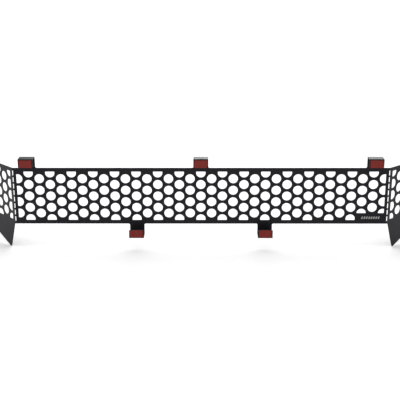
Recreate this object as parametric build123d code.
from build123d import *
import math
import os

# Perforated sheet-steel grille insert for a truck's lower bumper opening.
# A flat centre panel carries a staggered field of round holes. A wing hangs on a slotted bend line
# at each end and folds back. Five J-shaped hooks stand on the long edges; each ends in a short
# leg in front of the panel, and an adhesive pad with a peel-off liner covers that leg.
#
# Frame: X along the grille, -Y towards the front, +Z up, millimetres.
# Everything is drawn about the panel's centre and moved at the end, so that the origin is the
# middle of the liner's face on the top centre hook.

# ---------- driving dimensions ----------
SHEET = 1.9                 # sheet thickness with its powder coat
COLUMN_PITCH = 31.2         # hole columns, centre to centre
ROW_PITCH = 34.8            # holes within a column; the next column is half a pitch lower
HOLE_D = 27.2
BORDER = 11.0               # plain strip along the long edges
HALF_HEIGHT = 84.6          # panel and wings, centre to long edge
LAST_COLUMN = 17            # columns run from -17 to +17
FOLD_X = 544.8              # fold lines, from the middle
FOLD_STRIP = 10.5           # plain strip on the panel's side of a fold
WING_STRIP = 12.0           # and on the wing's side
CUT_CORNER_R = 1.2          # corners of the holes that a strip cuts short

LEFT_FOLD = 47.4            # degrees that each wing is folded back from flat
RIGHT_FOLD = 42.9

SLOT_COUNT = 8              # slots along each fold
SLOT_LENGTH = 14.6
SLOT_PITCH = 19.8
SLOT_HALF_WIDTH = 2.2
WEB_CLEAR = 0.1             # between a fold web's round side and the wing

WING_COLUMNS = 5
WING_FIRST = 17.8           # first hole column of a wing, from its fold
WING_LENGTH = 165.0
WING_TOP_R = 8.0
WING_LOW_R = 12.0
FIN_START = 4.2             # a fin begins this far out from its fold
FIN_TIP = (33.0, -165.5)    # lower point of a wing, from its fold and from mid height
FIN_TIP_R = 6.0
FIN_RISE = 22.8             # degrees that a fin's lower edge climbs towards its outer end

PATCH_LEFT = 14.5 * COLUMN_PITCH      # the plain patch in the lower right corner
PATCH_TOP = -1.5 * ROW_PITCH

HOOK_WIDTH = 42.6
HOOK_ROOT_R = 4.0           # fillets where a hook leaves the panel's edge
BEND_INSIDE_R = 1.0
LEG_CORNER_R = 3.0

TAPE_WIDTH = 37.0
TAPE_HEIGHT = 22.2          # 7/8 inch tape
TAPE_THICK = 1.1
LINER_THICK = 0.3

# hook name: side of the panel (+1 top, -1 bottom), column it stands over, distance
# its leg stands in front of the panel, and its bridge's outer face from mid height
HOOKS = {
    "top_left": (1, -16, 31.0, 118.3),
    "top_centre": (1, 0, 31.0, 118.3),
    "top_right": (1, 16, 31.0, 118.3),
    "bottom_left": (-1, -6, 38.0, 117.0),
    "bottom_right": (-1, 6, 38.0, 117.0),
}

# ---------- derived ----------
HALF_SHEET = SHEET / 2
BEND_OUTSIDE_R = BEND_INSIDE_R + SHEET
WEB_REACH = HALF_SHEET + WEB_CLEAR
OPEN_HALF_HEIGHT = HALF_HEIGHT - BORDER
HOOK_ROOT = HALF_HEIGHT + HOOK_ROOT_R
TAPE_MARGIN = 0.1           # above and below a tape on the flat of its leg
LEG_LENGTH = BEND_OUTSIDE_R + TAPE_HEIGHT + 2 * TAPE_MARGIN


def tape_centre(outer):
    """Height of a tape's middle, on a hook whose bridge has its outer face at the height outer."""
    return outer - LEG_LENGTH + TAPE_MARGIN + TAPE_HEIGHT / 2


_, _, CENTRE_REACH, CENTRE_OUTER = HOOKS["top_centre"]
TO_ORIGIN = Pos(0, CENTRE_REACH + TAPE_THICK + LINER_THICK, -tape_centre(CENTRE_OUTER))


# ---------- hole field ----------
def rows(column):
    """Heights of a column's holes: five in the even columns, four in the odd ones."""
    steps = (-2, -1, 0, 1, 2) if column % 2 == 0 else (-1.5, -0.5, 0.5, 1.5)
    return [step * ROW_PITCH for step in steps]


def hole(x, z, low_x, high_x, low_z=-OPEN_HALF_HEIGHT, high_z=OPEN_HALF_HEIGHT):
    """One hole, cut flat where it would run past the limits, or None if it lies outside them."""
    r = HOLE_D / 2
    whole = Pos(x, z) * Circle(r)
    if low_x <= x - r and x + r <= high_x and low_z <= z - r and z + r <= high_z:
        return whole
    width, height = high_x - low_x, high_z - low_z
    window = Pos(low_x + width / 2, low_z + height / 2) * Rectangle(width, height)
    cut = whole & window
    corners = [v for v in cut.vertices() if abs(v.X - x) + abs(v.Y - z) > 1 and on_limit(v, window)]
    return fillet(corners, CUT_CORNER_R)


def on_limit(vertex, window):
    """True for a vertex that lies on the window's edge, where a flat meets an arc or a flat."""
    box = window.bounding_box()
    gaps = (vertex.X - box.min.X, vertex.X - box.max.X, vertex.Y - box.min.Y, vertex.Y - box.max.Y)
    return min(abs(gap) for gap in gaps) < 0.001


def panel_holes():
    limit = FOLD_X - FOLD_STRIP
    holes = []
    for column in range(-LAST_COLUMN, LAST_COLUMN + 1):
        x = column * COLUMN_PITCH
        for z in rows(column):
            in_patch = x > PATCH_LEFT and z < PATCH_TOP + 1
            if in_patch and z < PATCH_TOP - 1:
                continue
            low_z = PATCH_TOP if in_patch else -OPEN_HALF_HEIGHT
            holes.append(hole(x, z, -limit, limit, low_z))
    return holes


def wing_holes():
    holes = []
    for column in range(WING_COLUMNS):
        x = WING_FIRST + column * COLUMN_PITCH
        for z in rows(column):
            holes.append(hole(x, z, WING_STRIP, WING_LENGTH))
    return holes


def fold_slots():
    """The slots of one fold, with the fold line along the sketch's Y axis."""
    first = -(SLOT_COUNT - 1) / 2 * SLOT_PITCH
    return [
        Pos(0, first + i * SLOT_PITCH) * Rectangle(2 * SLOT_HALF_WIDTH, SLOT_LENGTH)
        for i in range(SLOT_COUNT)
    ]


# ---------- sheet pieces ----------
def centre_panel():
    outline = Rectangle(2 * (FOLD_X - WEB_REACH), 2 * HALF_HEIGHT)
    for side, column, _, _ in HOOKS.values():
        root = Pos(column * COLUMN_PITCH, side * (HALF_HEIGHT + HOOK_ROOT_R / 2))
        outline += root * Rectangle(HOOK_WIDTH, HOOK_ROOT_R)
    roots = [
        v
        for v in outline.vertices()
        for side, column, _, _ in HOOKS.values()
        if abs(abs(v.X - column * COLUMN_PITCH) - HOOK_WIDTH / 2) < 0.01
        and abs(v.Y - side * HALF_HEIGHT) < 0.01
    ]
    outline = fillet(roots, HOOK_ROOT_R - 0.01)
    for side in (-1, 1):
        outline -= [Pos(side * FOLD_X, 0) * slot for slot in fold_slots()]
    outline -= panel_holes()
    return extrude(Plane.XZ * outline, amount=-SHEET)


def wing_outline():
    """A wing laid flat, with its fold axis on the sketch's Y axis and its outer end towards +X."""
    tip_x, tip_z = FIN_TIP
    end_z = tip_z + (WING_LENGTH - tip_x) * math.tan(math.radians(FIN_RISE))
    points = [
        (WEB_REACH, HALF_HEIGHT),
        (WING_LENGTH, HALF_HEIGHT),
        (WING_LENGTH, end_z),
        FIN_TIP,
        (FIN_START, -HALF_HEIGHT),
        (WEB_REACH, -HALF_HEIGHT),
    ]
    outline = make_face(Polyline(*points, close=True))
    for (x, z), r in zip(points[1:4], (WING_TOP_R, WING_LOW_R, FIN_TIP_R)):
        corner = [v for v in outline.vertices() if abs(v.X - x) + abs(v.Y - z) < 0.01]
        outline = fillet(corner, r)
    return outline


def wing(side, fold):
    """side is -1 for the left wing and +1 for the right one; fold is in degrees from flat."""
    outline = wing_outline()
    outline -= fold_slots()
    outline -= wing_holes()
    turn = math.radians(fold)
    outward = Vector(side * math.cos(turn), math.sin(turn), 0)
    plane = Plane(
        origin=(side * FOLD_X, HALF_SHEET, 0), x_dir=outward, z_dir=outward.cross(Vector(0, 0, 1))
    )
    return extrude(plane * outline, amount=HALF_SHEET, both=True)


def fold_webs(side):
    """The webs between the slots of one fold: round towards the wing, flat towards the panel."""
    edge = SLOT_LENGTH / 2 + (SLOT_COUNT - 1) / 2 * SLOT_PITCH
    ends = [(-HALF_HEIGHT, -edge), (edge, HALF_HEIGHT)]
    lows = [-edge + SLOT_LENGTH + i * SLOT_PITCH for i in range(SLOT_COUNT - 1)]
    spans = ends + [(low, low + SLOT_PITCH - SLOT_LENGTH) for low in lows]
    section = Circle(HALF_SHEET) + Pos(-side * WEB_REACH / 2, 0) * Rectangle(WEB_REACH, SHEET)
    return Compound(
        children=[
            extrude(Pos(side * FOLD_X, HALF_SHEET, low) * section, amount=high - low)
            for low, high in spans
        ]
    )


# ---------- hooks, tapes and liners ----------
def hook(side, column, reach, outer):
    """A J of bent strip: up from the panel's edge, forward over it, and back along its front."""
    end = outer - LEG_LENGTH
    under = outer - SHEET
    over = [(SHEET, outer), (-reach, outer)]
    inner = [(SHEET - reach, under), (0, under)]
    points = [(SHEET, HOOK_ROOT), *over, (-reach, end), (SHEET - reach, end), *inner, (0, HOOK_ROOT)]
    profile = make_face(Polyline(*points, close=True))
    for corners, r in ((over, BEND_OUTSIDE_R), (inner, BEND_INSIDE_R)):
        for y, z in corners:
            corner = [v for v in profile.vertices() if abs(v.X - y) + abs(v.Y - z) < 0.01]
            profile = fillet(corner, r)
    strip = extrude(Plane.YZ * profile, amount=HOOK_WIDTH / 2, both=True)
    free_corners = [e for e in strip.edges().filter_by(Axis.Y) if abs(e.center().Z - end) < 0.01]
    strip = fillet(free_corners, LEG_CORNER_R)
    if side < 0:
        strip = mirror(strip, about=Plane.XY)
    return Pos(column * COLUMN_PITCH, 0, 0) * strip


def pad(side, column, front, outer, thickness):
    """A flat pad on a hook's front leg, with its back at the distance front before the panel."""
    place = Pos(column * COLUMN_PITCH, -front - thickness / 2, side * tape_centre(outer))
    return place * Box(TAPE_WIDTH, thickness, TAPE_HEIGHT)


# ---------- the assembly ----------
def nodes():
    parts = {
        "centre_panel": centre_panel(),
        "left_wing": wing(-1, LEFT_FOLD),
        "right_wing": wing(1, RIGHT_FOLD),
        "left_fold_webs": fold_webs(-1),
        "right_fold_webs": fold_webs(1),
    }
    for name, (side, column, reach, outer) in HOOKS.items():
        parts[f"{name}_hook"] = hook(side, column, reach, outer)
        parts[f"{name}_tape"] = pad(side, column, reach, outer, TAPE_THICK)
        parts[f"{name}_liner"] = pad(side, column, reach + TAPE_THICK, outer, LINER_THICK)
    return parts


os.makedirs("parts", exist_ok=True)
for node, shape in nodes().items():
    export_step(TO_ORIGIN * shape, f"parts/{node}.step")
